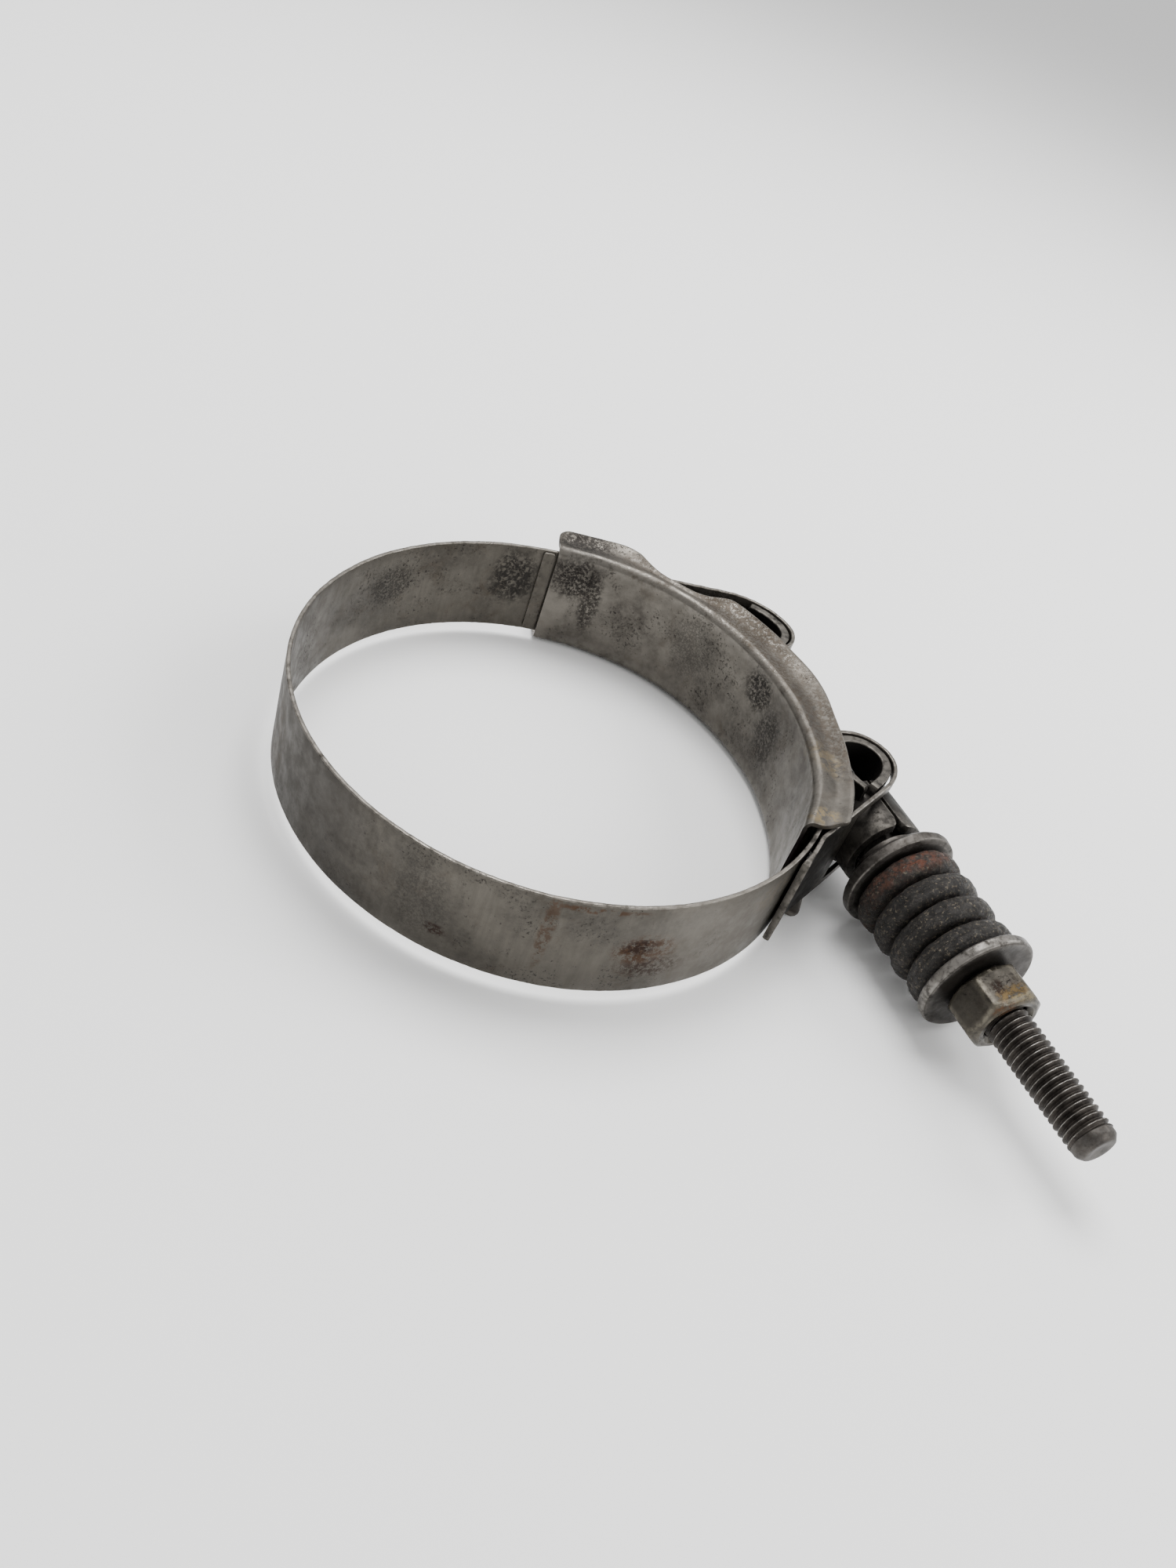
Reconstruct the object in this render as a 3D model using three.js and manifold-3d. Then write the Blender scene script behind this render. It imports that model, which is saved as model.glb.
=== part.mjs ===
// Spring-loaded T-bolt hose clamp, in millimetres, +Z up along the axis of the hose.
// The band is a ring round the Z axis. Its two ends carry loops, side by side at +X, and each
// loop holds a trunnion. The bolt runs from the far loop (+Y) through the near loop (-Y), and
// its nut squeezes a stack of disc springs against the near trunnion.

import * as THREE from 'three';
import { mergeVertices } from 'three/addons/utils/BufferGeometryUtils.js';
import Module from 'manifold-3d';

const wasm = await Module();
wasm.setup();

// ---- driving dimensions -------------------------------------------------------------------

const BAND = {
  innerRadius: 49,
  thickness: 0.8,
  width: 20,
  flexAngle: 150, // where round the ring the band is taken to flex, in degrees from +X
  flexGap: 0.3, // between the two segments that meet there
};

const BOLT = {
  offset: 53.4, // bolt axis to ring axis
  radius: 4, // M8 stud
  tipY: -99.8,
  tipChamfer: 1.1,
  headRadius: 4.1,
  headLength: 16,
};

const LOOP_RADIUS = 7.1; // band centre line round a trunnion

// Each loop is described for a band end on the +Y side, and the near one is mirrored.
const FAR_LOOP = {
  side: 1,
  centreY: 20.5,
  leaveAngle: 10, // where the tail leaves the round of the loop
  elbow: 9, // length of tail used up by the elbow after it
  tailHeading: 160.8, // direction of the straight tail
  landAngle: 53, // where the tail lands on the ring
  endAngle: 62, // where the tail ends
  seam: { armBend: [-5.4, 4.4], armEnd: [-1.0, 6.4], otherEndY: 28.4 }, // of its trunnion
};
const NEAR_LOOP = {
  side: -1,
  centreY: 19.6,
  leaveAngle: 30,
  elbow: 3.8,
  tailHeading: 153.5,
  landAngle: 52.5,
  endAngle: 59.4,
  seam: { armBend: [-5.4, 4.0], armEnd: [-3.6, 8.0], otherEndY: 28.9 },
};
const WELD_SINK = 0.06; // the tail is fused this deep into the ring
const LOOP_SLOT = { innerX: 48.6, outerX: 58.8, startY: 8, halfHeight: 4.8 }; // lets the bolt through
const SLEEVE_SLOT = { innerX: 45.5, outerX: 63, endY: -37, halfHeight: 8.1 }; // in the near tail

const TRUNNION = {
  plate: 2,
  clearance: 0.3,
  height: 19.6,
  boltHole: 4.6,
  lipLength: 2, // of the roll beyond its elbow, where the seam allows it
};
const SLEEVE = {
  outerRadius: 7.8,
  boreRadius: 5.8,
  startY: -24,
  endY: -36.3,
  wallOverlap: 0.5, // stock left inside for the bore to remove
  slit: 0.7,
  slitStartY: -26.5,
};

const SEAT_WASHER = {
  outerRadius: 11.1,
  boreRadius: 4.4,
  hubRadius: 7.1,
  hubEndY: -37.2,
  faceY: -39.9,
  backY: -42.5,
};
const DISC_SPRING = { // eight, in pairs whose outer rims meet
  count: 8,
  outerRadius: 10,
  boreRadius: 4.7,
  rimHeight: 1.45, // of the rim, before its rounded shoulder
  roundingRadius: 9.65, // where the rim's rounding ends
  roundingRise: 0.5,
  shoulderRadius: 8.4,
  shoulderDrop: 0.12,
  landRadius: 9, // the face towards the partner is flat outside this
  landRise: 0.06,
  coneRise: 0.75, // of the inner edge above the outer rim, on the inner side of a pair
};
const OUTER_WASHER = { outerRadius: 10.9, boreRadius: 4.4, faceY: -64.7, backY: -66.9 };
const NUT = {
  acrossFlats: 13,
  boreRadius: 4.3,
  faceY: -67.2,
  backY: -75.3,
  chamfer: 0.8,
  chamferReach: 1.1,
  turn: 18,
};
const STACK_GAP = 0.3; // left between pieces that press on each other

// Bridge: a shallow channel inside the ring that spans the gap between the loops.
const BRIDGE = {
  sheet: 0.8,
  webBend: 10.0, // half height where the web starts to turn outwards
  bendRadius: 1.0,
  flangeReach: 8.8,
  flangeWaist: 0.55, // share of its reach where the flange turns up again
  rimRise: 0.8,
  farEnd: 70,
  nearEndY: -36.8, // the near end is cut square to the bolt
  corner: 2.2, // rounding of the flange corners
  cornerCut: 0.7,
};
const BRIDGE_INSIDE = [[35, 10], [40, 70]]; // [radius, angle] of points well inside the web
const BRIDGE_WEB = [ // [angle, radius of the web's inner face]
  [72, 47.9], [58, 47.9], [44, 47.8], [30, 47.2], [17, 46.4], [4, 45.8],
  [-9, 45.5], [-24, 45.5], [-38, 46.1], [-52, 47.0],
];
const BRIDGE_RIM = [ // [angle, outer radius of the flanges]
  [70, 55.1], [60, 55.3], [55, 55.8], [51.5, 55.0], [48.5, 53.2], [45, 51.7], [40, 51.2], [36, 51.3],
  [33, 52.3], [30.5, 54.0], [28, 55.4], [21, 55.1], [13, 54.7], [0, 54.4], [-12, 52.6], [-26, 52.1],
  [-38, 52.6], [-50, 53.5],
];

const STEPS = { ring: 20, roll: 12, tail: 8, flange: 3, rim: 72, channel: 34, disc: 36, stud: 40, head: 20 };

const COLORS = {
  band: 0x8d8a84,
  bridge: 0x9a968f,
  trunnion: 0x55504a,
  bolt: 0x4e4a45,
  washer: 0x8a8781,
  spring: 0x3b3431,
  nut: 0x6f6a61,
};

// ---- small tools --------------------------------------------------------------------------

const radians = THREE.MathUtils.degToRad;

function polar(radius, degrees) {
  return new THREE.Vector2(radius * Math.cos(radians(degrees)), radius * Math.sin(radians(degrees)));
}

function solidOf(geometry, matrix = new THREE.Matrix4()) {
  const bare = geometry.clone().applyMatrix4(matrix);
  bare.deleteAttribute('normal');
  bare.deleteAttribute('uv');
  const merged = mergeVertices(bare, 1e-4);
  return new wasm.Manifold(new wasm.Mesh({
    numProp: 3,
    vertProperties: new Float32Array(merged.attributes.position.array),
    triVerts: new Uint32Array(merged.index.array),
  }));
}

function geometryOf(solid) {
  const mesh = solid.getMesh();
  const geometry = new THREE.BufferGeometry();
  geometry.setAttribute('position', new THREE.BufferAttribute(new Float32Array(mesh.vertProperties), 3));
  geometry.setIndex(new THREE.BufferAttribute(new Uint32Array(mesh.triVerts), 1));
  geometry.computeVertexNormals();
  return geometry;
}

// A flat outline extruded along Z, centred on the ring's middle plane.
function plateSolid(shape, height, curveSegments = 12) {
  const geometry = new THREE.ExtrudeGeometry(shape, { depth: height, bevelEnabled: false, curveSegments });
  return solidOf(geometry, new THREE.Matrix4().makeTranslation(0, 0, -height / 2));
}

// The outline of a strip of sheet metal that follows a centre line.
function stripShape(points, thickness) {
  const left = [];
  const right = [];
  points.forEach((point, i) => {
    const before = points[Math.max(i - 1, 0)];
    const after = points[Math.min(i + 1, points.length - 1)];
    const incoming = point.clone().sub(before).normalize();
    const outgoing = after.clone().sub(point).normalize();
    const along = incoming.clone().add(outgoing).normalize();
    const straight = i === 0 ? outgoing : incoming;
    const miter = 1 / Math.max(along.dot(straight), 0.5);
    const normal = new THREE.Vector2(-along.y, along.x).multiplyScalar(miter * thickness / 2);
    left.push(point.clone().add(normal));
    right.push(point.clone().sub(normal));
  });
  return new THREE.Shape([...left, ...right.reverse()]);
}

function stripSolid(points, thickness, height) {
  return plateSolid(stripShape(points, thickness), height);
}

// A turned piece on the bolt axis: profile points are [radius, y], closed on themselves.
function turnedSolid(profile, segments = 48) {
  const ring = profile.map(([radius, y]) => new THREE.Vector2(radius, y));
  if (ring[0].x > 0 || ring[ring.length - 1].x > 0) ring.push(ring[0].clone());
  const geometry = new THREE.LatheGeometry(ring, segments);
  return solidOf(geometry, new THREE.Matrix4().makeTranslation(BOLT.offset, 0, 0));
}

function ringProfile(inner, outer, yLow, yHigh, bevel = 0.25) {
  return [
    [inner, yLow], [outer - bevel, yLow], [outer, yLow + bevel],
    [outer, yHigh - bevel], [outer - bevel, yHigh], [inner, yHigh],
  ];
}

function rodProfile(radius, yLow, yHigh, chamfer = 0) {
  return [[0, yLow], [radius - chamfer, yLow], [radius, yLow + chamfer], [radius, yHigh], [0, yHigh]];
}

function boxSolid(low, high) {
  const size = high.map((value, axis) => value - low[axis]);
  const middle = high.map((value, axis) => (value + low[axis]) / 2);
  return solidOf(new THREE.BoxGeometry(...size), new THREE.Matrix4().makeTranslation(...middle));
}

function meetingPoint(point, heading, otherPoint, otherHeading) {
  const between = otherPoint.clone().sub(point);
  const distance = between.cross(otherHeading) / heading.cross(otherHeading);
  return point.clone().addScaledVector(heading, distance);
}

// ---- band ---------------------------------------------------------------------------------

const bandCentreRadius = BAND.innerRadius + BAND.thickness / 2;

function loopCentre(loop) {
  return new THREE.Vector2(BOLT.offset, loop.centreY);
}

// The part of a band end that leaves the loop: round, elbow, straight tail, and the welded end.
// inset moves the whole line inwards, for what lies inside the loop.
function tailLine(loop, inset, startAngle) {
  const centre = loopCentre(loop);
  const radius = LOOP_RADIUS - inset;
  const heading = polar(1, loop.tailHeading);
  const inwards = new THREE.Vector2(-heading.y, heading.x);
  const landing = polar(bandCentreRadius + BAND.thickness - WELD_SINK, loop.landAngle);
  const onTail = landing.clone().addScaledVector(inwards, inset);
  const leave = centre.clone().add(polar(radius, loop.leaveAngle));
  const corner = meetingPoint(leave, polar(1, loop.leaveAngle + 90), onTail, heading);
  const elbowEnd = corner.clone().addScaledVector(heading, loop.elbow);
  const path = new THREE.Path();
  path.absarc(centre.x, centre.y, radius, radians(startAngle), radians(loop.leaveAngle), false);
  path.quadraticCurveTo(corner.x, corner.y, elbowEnd.x, elbowEnd.y);
  return { path, landing: onTail, elbowEnd, heading };
}

function mirrored(points, side) {
  return points.map((point) => new THREE.Vector2(point.x, point.y * side));
}

const TAIL_OVERLAP = 20; // degrees of the loop that both strands of a band end share

// The ring from the flex line to the loop, and on round the loop to its outer side.
function ringAndLoopPoints(loop, flexAngle) {
  const centre = loopCentre(loop);
  const centreAngle = THREE.MathUtils.radToDeg(centre.angle());
  const spread = THREE.MathUtils.radToDeg(Math.acos((bandCentreRadius + LOOP_RADIUS) / centre.length()));
  const touchAngle = centreAngle + spread;
  const path = new THREE.Path();
  path.absarc(0, 0, bandCentreRadius, radians(flexAngle), radians(touchAngle), true);
  path.absarc(centre.x, centre.y, LOOP_RADIUS, radians(touchAngle - 180), radians(loop.leaveAngle), false);
  return path.getPoints(STEPS.ring);
}

function tailPoints(loop) {
  const { path, landing } = tailLine(loop, 0, loop.leaveAngle - TAIL_OVERLAP);
  path.lineTo(landing.x, landing.y);
  if (loop.endAngle > loop.landAngle) {
    path.absarc(0, 0, landing.length(), landing.angle(), radians(loop.endAngle), false);
  }
  return path.getPoints(STEPS.tail);
}

function bandEndSolid(loop, flexAngle) {
  const strand = mirrored(ringAndLoopPoints(loop, flexAngle), loop.side);
  const tail = mirrored(tailPoints(loop), loop.side);
  return stripSolid(strand, BAND.thickness, BAND.width).add(stripSolid(tail, BAND.thickness, BAND.width));
}

const halfFlexGap = THREE.MathUtils.radToDeg(BAND.flexGap / 2 / bandCentreRadius);

function slotSolid({ innerX, outerX, halfHeight }, fromY, toY) {
  return boxSolid([innerX, fromY, -halfHeight], [outerX, toY, halfHeight]);
}

function bandFarSegment() {
  const boltSlot = slotSolid(LOOP_SLOT, LOOP_SLOT.startY, FAR_LOOP.centreY);
  return bandEndSolid(FAR_LOOP, BAND.flexAngle - halfFlexGap).subtract(boltSlot);
}

function bandNearSegment() {
  const boltSlot = slotSolid(LOOP_SLOT, -NEAR_LOOP.centreY, -LOOP_SLOT.startY);
  const sleeveSlot = slotSolid(SLEEVE_SLOT, SLEEVE_SLOT.endY, -NEAR_LOOP.centreY);
  const solid = bandEndSolid(NEAR_LOOP, 360 - BAND.flexAngle - halfFlexGap);
  return solid.subtract(boltSlot).subtract(sleeveSlot);
}

// ---- bridge -------------------------------------------------------------------------------

// Half of the channel's centre line, from the middle of the web to the rim: [outward, height].
function bridgeHalfProfile() {
  const { sheet, webBend, bendRadius, flangeReach, flangeWaist, rimRise } = BRIDGE;
  const web = sheet / 2;
  const path = new THREE.Path();
  path.moveTo(web, 0);
  path.lineTo(web, webBend);
  path.absarc(web + bendRadius, webBend, bendRadius, Math.PI, Math.PI / 2, true);
  const flange = webBend + bendRadius;
  const waist = flangeReach * flangeWaist;
  path.bezierCurveTo(waist, flange, waist, flange, flangeReach, flange + rimRise);
  return path.getPoints(STEPS.flange);
}

function bridgeSolid() {
  const upper = bridgeHalfProfile();
  const lower = upper.slice(1).map((point) => new THREE.Vector2(point.x, -point.y)).reverse();
  const outline = stripShape([...lower, ...upper], BRIDGE.sheet).getPoints();
  // The frame of a flat path has its first axis along Z and its second pointing inwards.
  const profile = new THREE.Shape(outline.map((point) => new THREE.Vector2(point.y, -point.x)));
  const route = new THREE.CatmullRomCurve3(BRIDGE_WEB.map(([angle, radius]) => {
    const point = polar(radius, angle);
    return new THREE.Vector3(point.x, point.y, 0);
  }).reverse());
  const channel = solidOf(new THREE.ExtrudeGeometry(profile, { steps: STEPS.channel, extrudePath: route }));
  return channel.intersect(bridgeOutlineSolid());
}

// The channel seen along Z: its ends are square to the ring and its flange corners are rounded.
function bridgeOutlineSolid() {
  const rim = new THREE.SplineCurve(BRIDGE_RIM.map(([angle, radius]) => polar(radius, angle)));
  const { corner, cornerCut, farEnd, nearEndY } = BRIDGE;
  const points = rim.getPoints(STEPS.rim).filter((point) => {
    const angle = THREE.MathUtils.radToDeg(Math.atan2(point.y, point.x));
    return angle < farEnd - corner && point.y > nearEndY + corner;
  });
  const farRim = BRIDGE_RIM[0][1];
  const nearRim = points[points.length - 1].x;
  points.push(new THREE.Vector2(nearRim - cornerCut, nearEndY + cornerCut));
  points.push(new THREE.Vector2(nearRim - corner, nearEndY));
  points.push(new THREE.Vector2(nearRim / 2, nearEndY));
  points.push(...BRIDGE_INSIDE.map(([radius, angle]) => polar(radius, angle)));
  points.push(polar(farRim - corner, farEnd), polar(farRim - cornerCut, farEnd - cornerCut));
  return plateSolid(new THREE.Shape(points), BAND.width * 2);
}

// ---- trunnions ----------------------------------------------------------------------------

const trunnionInset = BAND.thickness / 2 + TRUNNION.clearance + TRUNNION.plate / 2;
const trunnionRadius = LOOP_RADIUS - trunnionInset;

// A plate rolled to fill the loop, with its open seam on the tail's side.
function trunnionPoints(loop) {
  const centre = loopCentre(loop);
  const { armBend, armEnd, otherEndY } = loop.seam;
  const { path, elbowEnd, heading } = tailLine(loop, trunnionInset, -180);
  const last = elbowEnd.clone().addScaledVector(heading, TRUNNION.lipLength);
  path.lineTo(last.x, last.y);
  const arm = new THREE.Path();
  arm.moveTo(centre.x + armEnd[0], centre.y + armEnd[1]);
  arm.quadraticCurveTo(centre.x + armBend[0], centre.y + armBend[1], centre.x - trunnionRadius, centre.y);
  const roll = path.getPoints(STEPS.roll).filter((point) => point.y < otherEndY);
  return [...arm.getPoints(STEPS.tail).slice(0, -1), ...roll];
}

function boltTrunnion() {
  const hole = turnedSolid(rodProfile(TRUNNION.boltHole, LOOP_SLOT.startY, FAR_LOOP.centreY));
  return stripSolid(trunnionPoints(FAR_LOOP), TRUNNION.plate, TRUNNION.height).subtract(hole);
}

function nutTrunnion() {
  const outline = mirrored(trunnionPoints(NEAR_LOOP), NEAR_LOOP.side);
  const barrel = stripSolid(outline, TRUNNION.plate, TRUNNION.height);
  const { outerRadius, boreRadius, wallOverlap, startY, endY, slit, slitStartY } = SLEEVE;
  const pastEnd = endY - wallOverlap;
  const innerY = -NEAR_LOOP.centreY;
  const sleeve = turnedSolid(ringProfile(boreRadius - wallOverlap, outerRadius, endY, startY));
  const bore = turnedSolid(rodProfile(boreRadius, pastEnd, innerY - TRUNNION.plate));
  const hole = turnedSolid(rodProfile(TRUNNION.boltHole, startY, -LOOP_SLOT.startY));
  const slits = boxSolid(
    [BOLT.offset - slit / 2, pastEnd, -outerRadius - wallOverlap],
    [BOLT.offset + slit / 2, slitStartY, outerRadius + wallOverlap],
  );
  return barrel.add(sleeve).subtract(bore).subtract(hole).subtract(slits);
}

// ---- bolt and the stack on it -------------------------------------------------------------

function tBolt() {
  const profile = rodProfile(BOLT.radius, BOLT.tipY, FAR_LOOP.centreY, BOLT.tipChamfer);
  const stud = turnedSolid(profile, STEPS.stud);
  const headShape = new THREE.Shape();
  headShape.absarc(BOLT.offset, FAR_LOOP.centreY, BOLT.headRadius, 0, Math.PI * 2, false);
  return stud.add(plateSolid(headShape, BOLT.headLength, STEPS.head));
}

function seatWasher() {
  const { outerRadius, boreRadius, hubRadius, hubEndY, faceY, backY } = SEAT_WASHER;
  const disc = turnedSolid(ringProfile(boreRadius, outerRadius, backY, faceY));
  return disc.add(turnedSolid(ringProfile(boreRadius, hubRadius, (faceY + backY) / 2, hubEndY)));
}

function outerWasher() {
  const { outerRadius, boreRadius, faceY, backY } = OUTER_WASHER;
  return turnedSolid(ringProfile(boreRadius, outerRadius, backY, faceY));
}

// One disc spring: a shallow cone. Odd ones rise towards the seat washer, even ones away from it.
function discSpring(number) {
  const disc = DISC_SPRING;
  const stackStart = SEAT_WASHER.backY - STACK_GAP / 2;
  const share = (stackStart - STACK_GAP / 2 - OUTER_WASHER.faceY) / disc.count;
  const thickness = share - STACK_GAP;
  const rises = number % 2 === 1;
  const rimY = stackStart - share * (rises ? number : number - 1);
  const direction = rises ? 1 : -1;
  const heights = [
    [disc.boreRadius, disc.coneRise],
    [disc.landRadius, disc.landRise],
    [disc.outerRadius, 0],
    [disc.outerRadius, disc.rimHeight],
    [disc.roundingRadius, disc.rimHeight + disc.roundingRise],
    [disc.shoulderRadius, thickness - disc.shoulderDrop],
    [disc.boreRadius, thickness],
  ];
  const profile = heights.map(([radius, height]) => [radius, rimY + direction * (height + STACK_GAP / 2)]);
  return turnedSolid(rises ? profile : profile.reverse(), STEPS.disc);
}

function hexNut() {
  const { acrossFlats, boreRadius, faceY, backY, chamfer, chamferReach, turn } = NUT;
  const cornerRadius = acrossFlats / Math.sqrt(3);
  const height = faceY - backY;
  const prism = solidOf(
    new THREE.CylinderGeometry(cornerRadius, cornerRadius, height, 6),
    new THREE.Matrix4().makeTranslation(BOLT.offset, (faceY + backY) / 2, 0)
      .multiply(new THREE.Matrix4().makeRotationY(Math.PI / 2 - radians(turn))),
  );
  const rounding = turnedSolid([
    [boreRadius, backY],
    [cornerRadius - chamferReach, backY],
    [cornerRadius, backY + chamfer],
    [cornerRadius, faceY - chamfer],
    [cornerRadius - chamferReach, faceY],
    [boreRadius, faceY],
  ]);
  return prism.intersect(rounding);
}

// ---- the assembled clamp ------------------------------------------------------------------

function piece(name, solid, color, roughness, metalness = 0.9) {
  const material = new THREE.MeshStandardMaterial({ color, roughness, metalness });
  const mesh = new THREE.Mesh(geometryOf(solid), material);
  mesh.name = name;
  return mesh;
}

const clamp = new THREE.Group();
clamp.add(
  piece('band_far_segment', bandFarSegment(), COLORS.band, 0.45),
  piece('band_near_segment', bandNearSegment(), COLORS.band, 0.45),
  piece('bridge', bridgeSolid(), COLORS.bridge, 0.4),
  piece('bolt_trunnion', boltTrunnion(), COLORS.trunnion, 0.6),
  piece('nut_trunnion', nutTrunnion(), COLORS.trunnion, 0.6),
  piece('t_bolt', tBolt(), COLORS.bolt, 0.5),
  piece('seat_washer', seatWasher(), COLORS.washer, 0.4),
  piece('outer_washer', outerWasher(), COLORS.washer, 0.35),
  piece('hex_nut', hexNut(), COLORS.nut, 0.5),
);

for (let number = 1; number <= DISC_SPRING.count; number += 1) {
  clamp.add(piece(`disc_spring_${number}`, discSpring(number), COLORS.spring, 0.7));
}

// The origin is the middle of the clamp's footprint, on the surface that it lies on.
const extent = new THREE.Box3().setFromObject(clamp);
const middle = extent.getCenter(new THREE.Vector3());
clamp.position.set(-middle.x, -middle.y, -extent.min.z);

export default clamp;
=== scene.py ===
# A used spring-loaded T-bolt hose clamp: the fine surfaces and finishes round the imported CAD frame.
# Shapes are described in millimetres in the ring's own frame, whose Z axis is the axis of the hose,
# and are moved into the CAD frame, in metres, when their meshes are made.

import math
import random

import bmesh
import bpy
from mathutils import Matrix, Vector, noise


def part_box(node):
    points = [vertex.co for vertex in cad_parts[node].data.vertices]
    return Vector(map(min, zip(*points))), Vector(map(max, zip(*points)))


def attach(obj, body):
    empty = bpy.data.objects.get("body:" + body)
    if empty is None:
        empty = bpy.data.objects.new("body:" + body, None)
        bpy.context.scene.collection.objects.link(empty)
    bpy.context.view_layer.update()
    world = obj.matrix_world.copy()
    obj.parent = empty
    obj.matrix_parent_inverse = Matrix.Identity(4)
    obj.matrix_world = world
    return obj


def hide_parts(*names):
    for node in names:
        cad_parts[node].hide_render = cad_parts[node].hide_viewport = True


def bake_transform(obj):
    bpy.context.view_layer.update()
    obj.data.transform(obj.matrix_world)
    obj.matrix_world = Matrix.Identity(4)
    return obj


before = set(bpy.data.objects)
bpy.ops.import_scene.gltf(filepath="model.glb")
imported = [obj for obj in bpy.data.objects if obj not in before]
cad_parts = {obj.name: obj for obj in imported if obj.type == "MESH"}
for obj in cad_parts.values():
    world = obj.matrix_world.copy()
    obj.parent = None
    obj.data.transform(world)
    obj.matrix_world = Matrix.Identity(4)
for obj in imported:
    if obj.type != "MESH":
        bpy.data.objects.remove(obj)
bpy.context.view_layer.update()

MM = 0.001

# ---- places read from the frame ----

BAND_RADIUS = 49.4
BAND_THICKNESS = 0.8
BAND_WIDTH = 20.0

_near_low, _near_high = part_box("band_near_segment")
_washer_low, _washer_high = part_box("outer_washer")
_washer_middle = (_washer_low + _washer_high) / 2
RING = Vector((
    _near_low.x + (BAND_RADIUS + BAND_THICKNESS / 2) * MM,
    _near_low.y + (BAND_RADIUS + BAND_THICKNESS / 2) * MM,
    (_near_low.z + _near_high.z) / 2,
))
BOLT_X = (_washer_middle.x - RING.x) / MM


def place(x, y, z):
    """A point of the ring's frame, in millimetres, as a point of the CAD frame, in metres."""
    return RING + Vector((x, y, z)) * MM


def span_y(node):
    """Where a CAD node starts and ends along the bolt, nearest the ring first, in millimetres."""
    low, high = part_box(node)
    return (high.y - RING.y) / MM, (low.y - RING.y) / MM


def radius_of(node):
    """The outer radius of a round CAD node, in millimetres."""
    low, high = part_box(node)
    return (high.x - low.x) / 2 / MM


# ---- plane curves ----


def polar(radius, degrees):
    """The plane point at a radius and a direction."""
    a = math.radians(degrees)
    return Vector((radius * math.cos(a), radius * math.sin(a)))


def arc(centre, radius, start, end, step=2.0):
    """Points of a round stretch from one direction to another, in degrees."""
    count = max(2, int(abs(end - start) / step))
    return [centre + polar(radius, start + (end - start) * i / count) for i in range(count + 1)]


def quadratic(a, b, c, count=16):
    """A bend from a to c that leaves and arrives towards b."""
    result = []
    for i in range(count + 1):
        t = i / count
        result.append(a * (1 - t) ** 2 + b * 2 * t * (1 - t) + c * t ** 2)
    return result


def meeting(point, heading, other, other_heading):
    """Where two straight lines meet."""
    cross = heading.x * other_heading.y - heading.y * other_heading.x
    between = other - point
    return point + heading * ((between.x * other_heading.y - between.y * other_heading.x) / cross)


def smooth_curve(points, count):
    """A Catmull-Rom curve through points, as count + 1 points."""
    ends = [points[0] * 2 - points[1], *points, points[-1] * 2 - points[-2]]
    result = []
    for i in range(count + 1):
        at = min(i / count * (len(points) - 1), len(points) - 1 - 1e-9)
        k, t = int(at), at - int(at)
        a, b, c, d = ends[k:k + 4]
        result.append((
            b * 2 + (c - a) * t + (a * 2 - b * 5 + c * 4 - d) * t ** 2
            + (b * 3 - a - c * 3 + d) * t ** 3
        ) / 2)
    return result


def resample(points, step):
    """The same line with evenly spaced points."""
    lengths = [0.0]
    for a, b in zip(points, points[1:]):
        lengths.append(lengths[-1] + (b - a).length)
    count = max(2, round(lengths[-1] / step))
    result, k = [], 0
    for i in range(count + 1):
        at = lengths[-1] * i / count
        while k < len(points) - 2 and lengths[k + 1] < at:
            k += 1
        gap = max(lengths[k + 1] - lengths[k], 1e-9)
        result.append(points[k].lerp(points[k + 1], min(1.0, (at - lengths[k]) / gap)))
    return result


def rounding(from_end, radius):
    """How far a corner of this radius cuts in at a distance from the end."""
    if from_end >= radius:
        return 0.0
    return radius - math.sqrt(max(0.0, radius ** 2 - (radius - from_end) ** 2))


def clean(points):
    """The line without points that lie on each other."""
    kept = [points[0]]
    for p in points[1:]:
        if (p - kept[-1]).length > 1e-4:
            kept.append(p)
    return kept


# ---- meshes ----


def build(name, vertices, faces, smooth_angle=40, attributes=None):
    """A mesh object from ring-frame millimetres. attributes holds one value a vertex, by name."""
    mesh = bpy.data.meshes.new(name)
    mesh.from_pydata([place(*v) for v in vertices], [], faces)
    for key, values in (attributes or {}).items():
        layer = mesh.attributes.new(key, "FLOAT", "POINT")
        layer.data.foreach_set("value", values)
    piece = bpy.data.objects.new(name, mesh)
    bpy.context.scene.collection.objects.link(piece)
    bm = bmesh.new()
    bm.from_mesh(mesh)
    bmesh.ops.recalc_face_normals(bm, faces=bm.faces)
    bm.to_mesh(mesh)
    bm.free()
    shade(piece, smooth_angle)
    return piece


def shade(piece, smooth_angle):
    """Smooth shading, with edges sharper than the angle kept crisp."""
    mesh = piece.data
    mesh.polygons.foreach_set("use_smooth", [True] * len(mesh.polygons))
    bm = bmesh.new()
    bm.from_mesh(mesh)
    limit = math.radians(smooth_angle)
    for edge in bm.edges:
        edge.smooth = not (len(edge.link_faces) == 2 and edge.calc_face_angle(0) > limit)
    bm.to_mesh(mesh)
    bm.free()


def loft(name, sections, closed=False, smooth_angle=40, attributes=None):
    """Joins closed sections, each a list of (x, y, z), one after another, and caps the ends."""
    size = len(sections[0])
    vertices = [v for section in sections for v in section]
    faces = []
    count = len(sections)
    for i in range(count if closed else count - 1):
        a, b = i * size, (i + 1) % count * size
        for j in range(size):
            k = (j + 1) % size
            faces.append((a + j, a + k, b + k, b + j))
    if not closed:
        faces.append(tuple(range(size)))
        faces.append(tuple((count - 1) * size + j for j in range(size)))
    return build(name, vertices, faces, smooth_angle, attributes)


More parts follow.
